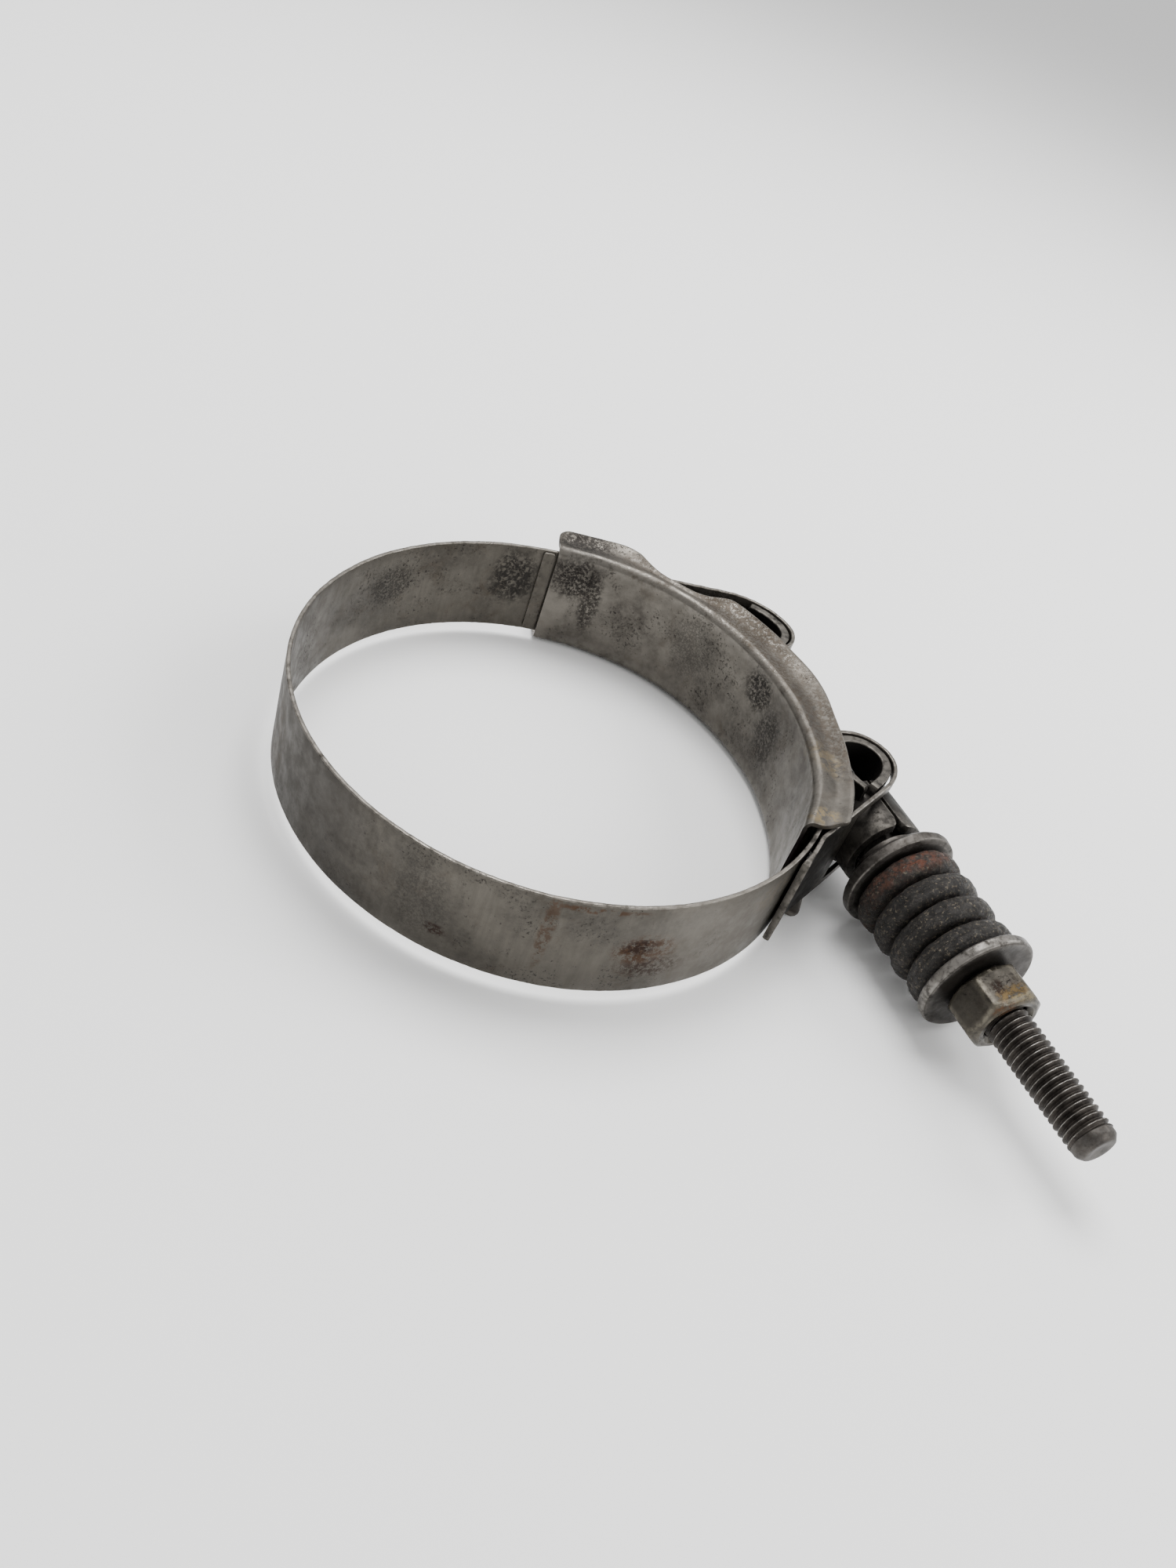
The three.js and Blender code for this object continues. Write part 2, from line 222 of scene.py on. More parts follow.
def cut(piece, *cutters):
    """Takes cutters out of a piece for good."""
    for cutter in cutters:
        modifier = piece.modifiers.new("cut", "BOOLEAN")
        modifier.operation = "DIFFERENCE"
        modifier.solver = "EXACT"
        modifier.object = cutter
    bake_modifiers(piece)
    for cutter in cutters:
        bpy.data.objects.remove(cutter)
    shade(piece, 40)


def bake_modifiers(piece):
    """Makes what the modifiers give the piece's own mesh."""
    bpy.context.view_layer.update()
    graph = bpy.context.evaluated_depsgraph_get()
    mesh = bpy.data.meshes.new_from_object(piece.evaluated_get(graph), depsgraph=graph)
    old = piece.data
    piece.modifiers.clear()
    piece.data = mesh
    bpy.data.meshes.remove(old)


def rounded_box(name, low, high, corner):
    """A slot cutter: a box from low to high whose corners are round seen along X."""
    outline = []
    for cy, cz, start in (
        (high[1] - corner, high[2] - corner, 0),
        (low[1] + corner, high[2] - corner, 90),
        (low[1] + corner, low[2] + corner, 180),
        (high[1] - corner, low[2] + corner, 270),
    ):
        for i in range(7):
            p = polar(corner, start + i * 15)
            outline.append((cy + p.x, cz + p.y))
    return loft(name, [[(x, y, z) for y, z in outline] for x in (low[0], high[0])])


def wobble(x, y, z, scale, seed=0.0):
    """Smooth noise from -1 to 1; scale is the size of its features in millimetres."""
    return noise.noise(Vector((x / scale + seed, y / scale + 3.1, z / scale - 1.7)))


# A strip of sheet: a rounded section swept along a line that lies in the ring's plane.


SECTION_ROWS = 8


def corner_points(across, height, corner, start):
    """A rounded corner of the section, from start on over a quarter turn."""
    points = []
    for i in range(1, 4):
        p = polar(corner, start + i * 90 / 4)
        points.append((across + p.x, height + p.y, 1.0))
    return points


def strip_section(thickness, width, corner):
    """The section as [(across, height, edge)], edge being 1 on the rounded rims."""
    flat_t, flat_w = thickness / 2 - corner, width / 2 - corner
    section = []
    for side in (1, -1):
        for i in range(SECTION_ROWS + 1):
            height = side * (2 * i / SECTION_ROWS - 1) * flat_w
            section.append((side * thickness / 2, height, 0.0))
        section += corner_points(side * flat_t, side * flat_w, corner, 90 - 90 * side)
        section.append((side * flat_t, side * width / 2, 1.0))
        section.append((-side * flat_t, side * width / 2, 1.0))
        section += corner_points(-side * flat_t, side * flat_w, corner, 180 - 90 * side)
    return section


def normals_of(points):
    """The direction square to the line at each of its points."""
    result = []
    for i, p in enumerate(points):
        before, after = points[max(i - 1, 0)], points[min(i + 1, len(points) - 1)]
        along = (after - before).normalized()
        result.append(Vector((along.y, -along.x)))
    return result


def strip(
    name, points, thickness, width, corner=0.25, end_round=0.9, waves=0.0, seed=0.0, thin=None,
    inside=0,
):
    """A piece of sheet along a line, with rounded corners at its ends. thin(share) scales the
    thickness along the line. inside is 1 or -1 for the side of the line that lies inside a roll,
    which gets the mark 'inside'."""
    section = strip_section(thickness, width, corner)
    length = sum((b - a).length for a, b in zip(points, points[1:]))
    sections, edges, insides, done = [], [], [], 0.0
    normals = normals_of(points)
    for i, p in enumerate(points):
        if i:
            done += (p - points[i - 1]).length
        squeeze = 1 - rounding(min(done, length - done), end_round) / (width / 2)
        scale = thin(done / length) if thin else 1.0
        ring = []
        for across, height, edge in section:
            shift = waves * wobble(p.x, p.y, height * 1.5, 9, seed)
            q = p + normals[i] * (across * scale + shift)
            z = height * squeeze
            if edge:
                z += 0.07 * wobble(p.x * 3, p.y * 3, height, 2.4, seed + 7) * math.copysign(1, height)
            ring.append((q.x, q.y, z))
            edges.append(edge)
            insides.append(1.0 if across * inside > 0 and not edge else 0.0)
        sections.append(ring)
    return loft(name, sections, attributes={"edge": edges, "inside": insides})


# A turned piece on the bolt's axis.


def turned(name, profile, segments=128, offset=(0.0, 0.0), rough=0.0, scale=2.0, seed=0.0):
    """profile is a closed outline of (radius, y, edge); rough moves the surface by noise."""
    sections, edges = [], []
    for i in range(segments):
        a = 2 * math.pi * i / segments
        ring = []
        for radius, y, edge in profile:
            x, z = math.cos(a) * radius, math.sin(a) * radius
            push = rough * (
                wobble(x, y, z, scale, seed) + 0.5 * wobble(x, y, z, scale / 2.7, seed + 5)
            )
            grown = 1 + push / max(radius, 1)
            ring.append((BOLT_X + offset[0] + x * grown, y + push * 0.5, offset[1] + z * grown))
            edges.append(edge)
        sections.append(ring)
    return loft(name, sections, closed=True, attributes={"edge": edges})


def rounded_outline(corners, step=22.5):
    """A closed outline of (radius, y, rounding) corners, as (radius, y, edge) with round corners."""
    result = []
    count = len(corners)
    for i, (r, y, size) in enumerate(corners):
        here = Vector((r, y))
        before = Vector(corners[i - 1][:2]) - here
        after = Vector(corners[(i + 1) % count][:2]) - here
        if size <= 0:
            result.append((r, y, 0.0))
            continue
        size = min(size, before.length * 0.49, after.length * 0.49)
        a, c = here + before.normalized() * size, here + after.normalized() * size
        pieces = max(2, int(90 / step))
        for k, p in enumerate(quadratic(a, here, c, pieces)):
            result.append((p.x, p.y, 1.0 if 0 < k < pieces else 0.6))
    return subdivided(result)


def subdivided(outline, longest=1.2):
    """The outline with long straight stretches split, so that noise can move them."""
    result = []
    for i, (r, y, edge) in enumerate(outline):
        r2, y2, edge2 = outline[(i + 1) % len(outline)]
        result.append((r, y, edge))
        parts = int(math.hypot(r2 - r, y2 - y) / longest)
        for k in range(1, parts + 1):
            t = k / (parts + 1)
            result.append((r + (r2 - r) * t, y + (y2 - y) * t, 0.0))
    return result


# ---- lines of the band and the trunnions ----

LOOP_RADIUS = 7.1
TRUNNION_CLEARANCE = 0.3
TRUNNION_PLATE = 2.0

# Both loops are described on the +Y side, and side says where each lies. The strip leaves the loop
# at leave, bends over the length elbow, and runs straight at heading to the ring, where it lands at
# land and ends at end. It stands off the ring by stand and rises by lift towards its end. The arm is
# the trunnion's free end inside the loop, and its other end stops at other_end_y.
FAR_LOOP = {
    "side": 1, "y": 20.5, "leave": 10, "elbow": 9, "heading": 160.8,
    "land": 53, "end": 62, "stand": -0.06, "lift": 0.1,
    "arm_bend": (-5.4, 4.4), "arm_end": (-1.0, 6.4), "other_end_y": 28.4,
}
NEAR_LOOP = {
    "side": -1, "y": 19.6, "leave": 30, "elbow": 3.8, "heading": 153.5,
    "land": 49.5, "end": 59.3, "stand": 0.5, "lift": 0.25,
    "arm_bend": (-5.4, 4.0), "arm_end": (-3.6, 8.0), "other_end_y": 28.9,
}


def loop_centre(loop):
    return Vector((BOLT_X, loop["y"]))


def elbow_line(loop, inset, start):
    """Round the loop from start, round the elbow, and the landing point and heading of the tail."""
    centre = loop_centre(loop)
    heading = polar(1, loop["heading"])
    inwards = Vector((-heading.y, heading.x))
    landing = polar(BAND_RADIUS + BAND_THICKNESS + loop["stand"], loop["land"]) + inwards * inset
    radius = LOOP_RADIUS - inset
    leave = centre + polar(radius, loop["leave"])
    corner = meeting(leave, polar(1, loop["leave"] + 90), landing, heading)
    elbow_end = corner + heading * loop["elbow"]
    line = arc(centre, radius, start, loop["leave"], 3) + quadratic(leave, corner, elbow_end)[1:]
    return line, landing, elbow_end, heading


def touch_angle(loop):
    """Where the ring passes over into the loop."""
    centre = loop_centre(loop)
    spread = math.degrees(math.acos((BAND_RADIUS + LOOP_RADIUS) / centre.length))
    return math.degrees(math.atan2(centre.y, centre.x)) + spread


def band_end(loop):
    """From the ring's touch point round the loop and along the tail to its welded end."""
    line, landing, _, _ = elbow_line(loop, 0, touch_angle(loop) - 180)
    line.append(landing)
    for i in range(1, 13):
        share = i / 12
        angle = loop["land"] + (loop["end"] - loop["land"]) * share
        line.append(polar(landing.length + 0.1 * share + loop["lift"] * share ** 2, angle))
    return [Vector((p.x, p.y * loop["side"])) for p in line]


def trunnion_line(loop):
    """The rolled plate inside a loop, from the free end of its arm to its other end."""
    centre = loop_centre(loop)
    inset = BAND_THICKNESS / 2 + TRUNNION_CLEARANCE + TRUNNION_PLATE / 2
    roll, _, elbow_end, heading = elbow_line(loop, inset, -180)
    roll.append(elbow_end + heading * 2)
    arm = quadratic(
        centre + Vector(loop["arm_end"]), centre + Vector(loop["arm_bend"]),
        centre - Vector((LOOP_RADIUS - inset, 0)),
    )
    line = arm[:-1] + [p for p in clean(resample(roll, 0.25)) if p.y < loop["other_end_y"]]
    return [Vector((p.x, p.y * loop["side"])) for p in line]


# ---- the band ----


BAND_STEP = 0.5
BAND_END_LENGTH = 2.5
BAND_END_THICKER = 0.6
# The slots that the bolt and the sleeve pass through: low corner, high corner, corner radius.
BAND_SLOTS = [
    ((48.4, 4, -4.8), (58.8, 24.5, 4.8), 4.0),
    ((48.4, -23.5, -4.8), (58.8, -4, 4.8), 4.0),
    ((44.9, -37, -8.2), (63, -19.6, 8.2), 3.0),
]


def make_band():
    """The one strip of the band, from the far tail's end round the ring to the near tail's."""
    far, near = band_end(FAR_LOOP), band_end(NEAR_LOOP)
    around = arc(Vector((0, 0)), BAND_RADIUS, touch_angle(FAR_LOOP), 360 - touch_angle(NEAR_LOOP), 1)
    line = resample(clean(far[::-1] + around + near), BAND_STEP)
    length = BAND_STEP * (len(line) - 1)

    def thicker_near_end(share):
        return 1 + BAND_END_THICKER * max(0.0, 1 - (1 - share) * length / BAND_END_LENGTH)

    band = strip(
        "band", line, BAND_THICKNESS, BAND_WIDTH, end_round=0.5, waves=0.05, seed=2.0,
        thin=thicker_near_end,
    )
    cut(band, *(rounded_box(f"slot_{i}", *slot) for i, slot in enumerate(BAND_SLOTS)))
    return band


def bend_band(band):
    """Bakes the band's placement into its mesh. It does not bend the band at the flex line or cut it
    through the gap between the loops.
    """
    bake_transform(band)


# ---- the bridge ----

BRIDGE_SHEET = 0.8
BRIDGE_WEB = [
    (70, 47.9), (58, 47.9), (44, 47.8), (30, 47.2), (17, 46.4), (4, 45.8),
    (-9, 45.5), (-24, 45.5), (-38, 46.1), (-52, 47.0),
]
BRIDGE_RIM = [
    (72, 55.1), (60, 55.3), (55, 55.8), (51.5, 55.0), (48.5, 53.2), (45, 51.7), (40, 51.2), (36, 51.3),
    (33, 52.3), (30.5, 54.0), (28, 55.4), (21, 55.1), (13, 54.7), (0, 54.4), (-12, 52.9), (-26, 52.6),
    (-38, 53.2), (-54, 54.4),
]
BRIDGE_FAR_CORNER = 2.4
BRIDGE_NEAR_CORNER = 0.9
BRIDGE_DIP = 0.5
BRIDGE_HALF_WEB = 10.0
BRIDGE_BEND = 1.15
BRIDGE_RISE = 0.62
BRIDGE_WIDE = 5.5
BRIDGE_NEAR_Y = -36.3
BRIDGE_NEAR_TURN = -11.5
BRIDGE_TURN_FROM = -22
BRIDGE_STEP_ANGLES = (63.0, 52.0)
BRIDGE_STEP_DEPTH = 0.13
BRIDGE_STEP_STEEPNESS = 7


def rim_reach(point, heading, rim):
    """How far from point the rim lies along heading."""
    best = 8.0
    for _ in range(12):
        at = point + heading * best
        angle = math.degrees(math.atan2(at.y, at.x))
        best += rim_radius(angle, rim) - at.length
    return best


def rim_radius(angle, rim):
    """The rim's radius in a direction, between the points of its outline."""
    for (a1, r1), (a2, r2) in zip(rim, rim[1:]):
        if a1 >= angle >= a2:
            return r1 + (r2 - r1) * (a1 - angle) / (a1 - a2)
    return rim[0][1] if angle > rim[0][0] else rim[-1][1]


def bridge_half(reach):
    """Centre line of the upper half of the channel, from the web to the rim: (outwards, height)."""
    line = [(0.0, BRIDGE_HALF_WEB * i / 6) for i in range(6)]
    bend = Vector((BRIDGE_BEND, BRIDGE_HALF_WEB))
    line += [tuple(bend + polar(BRIDGE_BEND, 180 - 10 * i)) for i in range(10)]
    top = BRIDGE_HALF_WEB + BRIDGE_BEND
    flat = max(reach - BRIDGE_BEND, 0.6)
    for i in range(1, 13):
        t = i / 12
        dip = BRIDGE_DIP * math.sin(math.pi * t) ** 1.5
        rise = BRIDGE_RISE * min(1.0, (flat / BRIDGE_WIDE) ** 2)
        line.append((BRIDGE_BEND + flat * t, top - dip * min(1.0, flat / BRIDGE_WIDE) + rise * t ** 3))
    return line


def sheet_outline(line, thickness):
    """A closed outline with round tips round a centre line of (u, v), and its edge marks."""
    points = [Vector(p) for p in line]
    half = thickness / 2
    outline, marks = [], []
    for side in (points, points[::-1]):
        normals = normals_of(side)
        outline += [p + n * half for p, n in zip(side, normals)]
        marks += [0.0] * len(side)
        tip = (side[-1] - side[-2]).normalized()
        for degrees in (45, 90, 135):
            p = polar(half, degrees)
            outline.append(side[-1] + normals[-1] * p.x + tip * p.y * 0.8)
            marks.append(1.0)
    return outline, marks


def bridge_frames():
    """Stations along the web: where each is, and its direction outwards."""
    web = smooth_curve([polar(r, a) for a, r in BRIDGE_WEB], 400)
    web = resample([p for p in web if p.y >= BRIDGE_NEAR_Y], 0.6)
    ends = [web[0].lerp(web[1], t) for t in (0.0, 0.15, 0.4, 0.7)]
    tails = [web[-1].lerp(web[-2], t) for t in (0.7, 0.4, 0.15, 0.0)]
    web = ends + web[1:-1] + tails
    last = math.degrees(math.atan2(web[-1].y, web[-1].x))
    frames = []
    for p in web:
        angle = math.degrees(math.atan2(p.y, p.x))
        share = max(0.0, min(1.0, (BRIDGE_TURN_FROM - angle) / (BRIDGE_TURN_FROM - last)))
        turn = angle - (last - BRIDGE_NEAR_TURN) * share ** 1.5 if share else angle
        frames.append((p, polar(1, turn)))
    return frames


def make_bridge():
    """The channel-shaped liner over the ring's gap: a web inside the ring and a flange at each edge."""
    rim_line = smooth_curve([polar(r, a) for a, r in BRIDGE_RIM], 300)
    rim = [(math.degrees(math.atan2(p.y, p.x)), p.length) for p in rim_line]
    frames = bridge_frames()
    sections, edges, done = [], [], [0.0]
    for (a, _), (b, _) in zip(frames, frames[1:]):
        done.append(done[-1] + (b - a).length)
    for (p, out), at in zip(frames, done):
        reach = rim_reach(p, out, rim) - BRIDGE_SHEET / 2
        for corner, from_end in ((BRIDGE_FAR_CORNER, at), (BRIDGE_NEAR_CORNER, done[-1] - at)):
            reach -= rounding(from_end, corner)
        upper = bridge_half(reach)
        lower = [(u, -v) for u, v in upper[:0:-1]]
        outline, marks = sheet_outline(lower + upper, BRIDGE_SHEET)
        ring = []
        for q in outline:
            base = p + out * (q.x + BRIDGE_SHEET / 2)
            step = bridge_steps(math.degrees(math.atan2(base.y, base.x)), q.x, q.y)
            uneven = 0.06 * wobble(base.x, base.y, q.y, 7, 4.0)
            moved = base + out * (uneven + step)
            ring.append((moved.x, moved.y, q.y + uneven * (1 if q.x > 1 else 0)))
        sections.append(ring)
        # Edge marks, with the painted highlight along the bend between web and flange added.
        edges += [max(m, bend_highlight(q)) for m, q in zip(marks, outline)]
    return loft("bridge_plate", sections, attributes={"edge": edges})


def bridge_steps(angle, outwards, height):
    """The web stands in a little further past each press line near its far end."""
    if outwards > 0.9 or abs(height) > BRIDGE_HALF_WEB:
        return 0.0
    depth = 0.0
    for line in BRIDGE_STEP_ANGLES:
        depth += BRIDGE_STEP_DEPTH / (1 + math.exp((angle - line) * BRIDGE_STEP_STEEPNESS))
    return depth - BRIDGE_STEP_DEPTH


def bend_highlight(q):
    """Painted highlight: the outer side of the bend between web and flange gets a bright edge mark."""
    on_bend = abs(abs(q.y) - (BRIDGE_HALF_WEB + 0.9)) < 1.1 and q.x < 1.1
    return 0.6 if on_bend else 0.0


def make_lap():
    """A narrow doubled strip of the band's inner face, just before the bridge's far edge."""
    radius = BAND_RADIUS - BAND_THICKNESS / 2 - 0.22
    line = arc(Vector((0, 0)), radius, 70.4, 73.4, 0.15)
    return strip("band_lap", line, 0.6, BAND_WIDTH - 0.8, corner=0.2, end_round=0.5, waves=0.1, seed=9.0)


# ---- trunnions ----

ROLL_THICKNESS = 1.8
ROLL_WIDTH = 19.6
SHANK_HOLE = 4.8
SLEEVE_OUTER = 7.8
SLEEVE_BORE = 5.8
SLEEVE_SLIT = 0.35
SLEEVE_START_Y = -24.0
SLEEVE_CORNER = 1.5
SLEEVE_STEPS = 72
SLEEVE_LEFT_SHORTER = 0.6


def make_trunnion_roll(name, loop, seed, thin, inside):
    line = resample(clean(trunnion_line(loop)), 0.3)
    return strip(
        name, line, ROLL_THICKNESS, ROLL_WIDTH, corner=0.3, end_round=0.6, seed=seed,
        thin=thin, inside=inside,
    )


def make_bolt_trunnion():
    """The rolled plate in the far loop, which tapers towards the free end of its arm."""
    def taper(share):
        return 0.45 + 0.55 * min(1.0, max(0.0, (share - 0.12) / 0.25))

    roll = make_trunnion_roll("bolt_trunnion_roll", FAR_LOOP, 3.0, taper, -1)
    cut(roll, cutter_rod("shank_hole", SHANK_HOLE, 5, 20))
    return roll


def cutter_rod(name, radius, y_low, y_high):
    """A rod on the bolt's axis, for cutting a hole."""
    sections = []
    for y in (y_low, y_high):
        sections.append([
            (BOLT_X + radius * math.cos(a * math.pi / 32), y, radius * math.sin(a * math.pi / 32))
            for a in range(64)
        ])
    return loft(name, sections)


def make_nut_trunnion():
    """The rolled plate in the near loop, which passes over into the split sleeve."""
    def taper(share):
        return 0.75 + 0.25 * min(1.0, share / 0.2)

    roll = make_trunnion_roll("nut_trunnion_roll", NEAR_LOOP, 5.0, taper, 1)
    cut(
        roll, cutter_rod("sleeve_hole", SLEEVE_BORE, -40, -21),
        cutter_rod("shank_hole", SHANK_HOLE, -21.5, -5),
    )
    return roll


def sleeve_profile(end, middle):
    """The shell's outline in one direction, as (radius, y, edge)."""
    outer, inner, start = SLEEVE_OUTER, SLEEVE_BORE, SLEEVE_START_Y
    return [
        (inner, start, 0), (outer, start, 0), (outer, middle, 0),
        (outer, end + 0.45, 0.7), (outer - 0.15, end + 0.12, 1), (outer - 0.5, end, 1),
        (inner + 0.3, end, 0.6), (inner, end + 0.3, 0.3),
    ]


def sleeve_half(name, side, end_y, seed):
    """Half of the split sleeve: a half-round shell with rounded corners at its free end."""
    gap = math.degrees(SLEEVE_SLIT / SLEEVE_OUTER)
    sections, edges = [], []
    for i in range(SLEEVE_STEPS + 1):
        angle = -90 + gap + (180 - 2 * gap) * i / SLEEVE_STEPS
        from_slit = math.radians(min(angle + 90 - gap, 90 - gap - angle)) * SLEEVE_OUTER
        at_slit = 1.0 if from_slit < 0.01 else 0.0
        end = end_y + rounding(from_slit, SLEEVE_CORNER)
        ring = []
        for radius, y, edge in sleeve_profile(end, (SLEEVE_START_Y + end_y) / 2):
            p = polar(radius, angle)
            x, z = side * p.x, p.y
            grown = 1 + 0.012 * wobble(x, y, z, 4, seed)
            ring.append((BOLT_X + x * grown, y, z * grown))
            edges.append(max(edge, at_slit))
        sections.append(ring)
    return loft(name, sections, attributes={"edge": edges})


# ---- the bolt ----

STUD_RADIUS = 3.98
SHANK_START = 14.0
SHANK_STEP = 1.5
THREAD_PITCH = 1.25
THREAD_DEPTH = 0.68
THREAD_START = -62.0
THREAD_ROWS_A_TURN = 20
STUD_SEGMENTS = 72
TIP_PLAIN = 2.3
TIP_CHAMFER = 1.0


def stud_rows(tip):
    """Stations along the stud as (y, radius, threaded), from its hidden end to its tip."""
    rows = []
    y = SHANK_START
    while y > THREAD_START:
        rows.append((y, STUD_RADIUS - 0.05, False))
        y -= SHANK_STEP
    y = THREAD_START
    while y > tip + TIP_PLAIN:
        rows.append((y, STUD_RADIUS, True))
        y -= THREAD_PITCH / THREAD_ROWS_A_TURN
    for from_tip, smaller in (
        (TIP_PLAIN, 0.22), (TIP_CHAMFER + 0.35, 0.22), (TIP_CHAMFER, 0.32),
        (0.45, 0.75), (0.15, 1.0), (0.02, 1.35),
    ):
        rows.append((tip + from_tip, STUD_RADIUS - smaller, False))
    return rows + [(tip + 0.05, 1.9, False), (tip + 0.22, 1.0, False), (tip + 0.3, 0.4, False)]


def thread_groove(y, turn, to_end):
    """How deep the groove is, and 1 on a crest. turn is the share of a turn round the stud."""
    phase = (y / THREAD_PITCH + turn) % 1.0
    run_out = min(1.0, (THREAD_START - y) / 1.2, to_end / 0.9 + 0.25)
    slope = max(0.0, min(1.0, abs(phase - 0.5) / 0.42 - 0.09))
    crest = 1.0 if slope > 0.97 else 0.0
    return THREAD_DEPTH * (1 - slope) * max(run_out, 0.0), crest


def make_bolt():
    """The T-bolt's stud: a plain shank, a cut thread and a plain tip."""
    _, tip = span_y("t_bolt")
    sections, edges = [], []
    for y, r, threaded in stud_rows(tip):
        ring = []
        for i in range(STUD_SEGMENTS):
            a = 2 * math.pi * i / STUD_SEGMENTS
            if threaded:
                depth, crest = thread_groove(y, i / STUD_SEGMENTS, y - tip - TIP_PLAIN)
                depth += 0.05 * crest * (1 + wobble(i * 0.3, y * 2, 0, 1.6, 1.0))
            else:
                depth = 0.03 * wobble(math.cos(a) * r * 2, y * 2, math.sin(a) * r * 2, 1.5, 6.0)
                crest = 0.5
            ring.append((BOLT_X + (r - depth) * math.cos(a), y, (r - depth) * math.sin(a)))
            edges.append(crest)
        sections.append(ring)
    return loft("t_bolt_stud", sections, smooth_angle=75, attributes={"edge": edges})


HEAD_RADIUS = 4.05
HEAD_CENTRE_DEPTH = 4.1
HEAD_ROUNDING = 0.8
HEAD_SEGMENTS = 56


def make_bolt_head():
    """The cross rod of the T, which lies in the far loop."""
    low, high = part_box("t_bolt")
    centre_y = (high.y - RING.y) / MM - HEAD_CENTRE_DEPTH
    length = (high.z - low.z) / MM
    stations = [0.0, 0.1, 0.35, 0.8] + [1.2 + (length - 2.4) * i / 40 for i in range(41)]
    stations += [length - 0.8, length - 0.35, length - 0.1, length]
    sections, edges = [], []
    for at in stations:
        z = at - length / 2
        from_end = min(at, length - at)
        radius = HEAD_RADIUS - rounding(from_end, HEAD_ROUNDING)
        ring = []
        for i in range(HEAD_SEGMENTS):
            a = 2 * math.pi * i / HEAD_SEGMENTS
            r = radius + 0.05 * wobble(math.cos(a) * 6, math.sin(a) * 6, z, 2.2, 8.0)
            ring.append((BOLT_X + r * math.cos(a), centre_y + r * math.sin(a), z))
            edges.append(1.0 if 0.05 < from_end < HEAD_ROUNDING else 0.0)
        sections.append(ring)
    return loft("t_bolt_head", sections, attributes={"edge": edges})


# ---- the stack on the bolt ----


def make_seat_washer():
    """A bevelled washer with a short hub on the side of the sleeve."""
    hub, back = span_y("seat_washer")
    outer = radius_of("seat_washer")
    face = back + 2.6
    profile = rounded_outline([
        (4.4, hub, 0.2), (7.1, hub, 0.3), (7.1, face, 0.0), (9.4, face, 0.25),
        (outer - 0.75, face - 0.05, 0.25), (outer, face - 0.85, 0.2), (outer - 0.15, back + 0.2, 0.3),
        (outer - 1.2, back, 0.2), (4.4, back, 0.2),
    ])
    profile = [(r, y, 0.55 * edge) for r, y, edge in profile]
    return turned("seat_washer_ring", profile, rough=0.05, seed=1.5, offset=(-0.25, -0.2))


def make_disc(number):
    """One disc spring: a shallow cone with a rim that wear and rust have rounded and pitted."""
    near, far = span_y(f"disc_spring_{number}")
    outer = radius_of(f"disc_spring_{number}")
    rises = number % 2 == 1
    rim, inner, direction = (far, near, 1) if rises else (near, far, -1)
    thick = abs(near - far)

    def at(height):
        return rim + direction * height

    profile = rounded_outline([
        (4.75, at(0.75), 0.15), (9.0, at(0.0), 0.3), (outer - 0.05, at(-0.15), 0.05),
        (outer, at(0.35), 0.5), (outer - 0.13, at(0.95), 0.6), (outer - 0.45, at(1.5), 0.6),
        (outer - 1.0, at(thick - 0.45), 0.6), (outer - 1.7, at(thick - 0.18), 0.4),
        (7.6, at(thick - 0.14), 0.3), (4.75, inner - direction * 0.1, 0.15),
    ])
    if not rises:
        profile = profile[::-1]
    rng = random.Random(40 + (number + 1) // 2)
    offset = (rng.uniform(-0.12, 0.12) - 0.3, rng.uniform(-0.1, 0.1) - 0.25)
    return turned(
        f"disc_{number}", profile, segments=144, offset=offset, rough=0.16, scale=1.6,
        seed=(number + 1) // 2 * 1.7,
    )


def make_outer_washer():
    """A plain washer with a rubbed bright rim."""
    face, back = span_y("outer_washer")
    outer = radius_of("outer_washer")
    profile = rounded_outline([
        (4.4, face, 0.2), (outer - 0.3, face, 0.3), (outer, face - 0.35, 0.25),
        (outer, back + 0.5, 0.3), (outer - 0.5, back + 0.02, 0.25), (4.4, back, 0.25),
    ])
    profile = [(r, y, 0.9 if r > outer - 0.3 else edge * 0.4) for r, y, edge in profile]
    return turned("outer_washer_ring", profile, segments=160, rough=0.03, seed=2.5)


NUT_FLATS = 13.0
NUT_TURN = -18.0
NUT_CHAMFER_RADIUS = 5.75
NUT_CHAMFER_SLOPE = math.tan(math.radians(34))
NUT_EDGE = 0.15
NUT_CORNER_SOFT = 0.16
NUT_CORNER_CUT = 0.12
NUT_SEGMENTS = 360


def nut_radius(degrees):
    """Distance from the nut's axis to its side in a direction, with softened corners."""
    nearest = (degrees - NUT_TURN) % 60 - 30
    sharp = NUT_FLATS / 2 / math.cos(math.radians(nearest))
    limit = NUT_FLATS / math.sqrt(3) - NUT_CORNER_CUT
    over = (sharp - limit) / NUT_CORNER_SOFT
    if over <= -3:
        return sharp
    return limit - NUT_CORNER_SOFT * math.log1p(math.exp(-over))


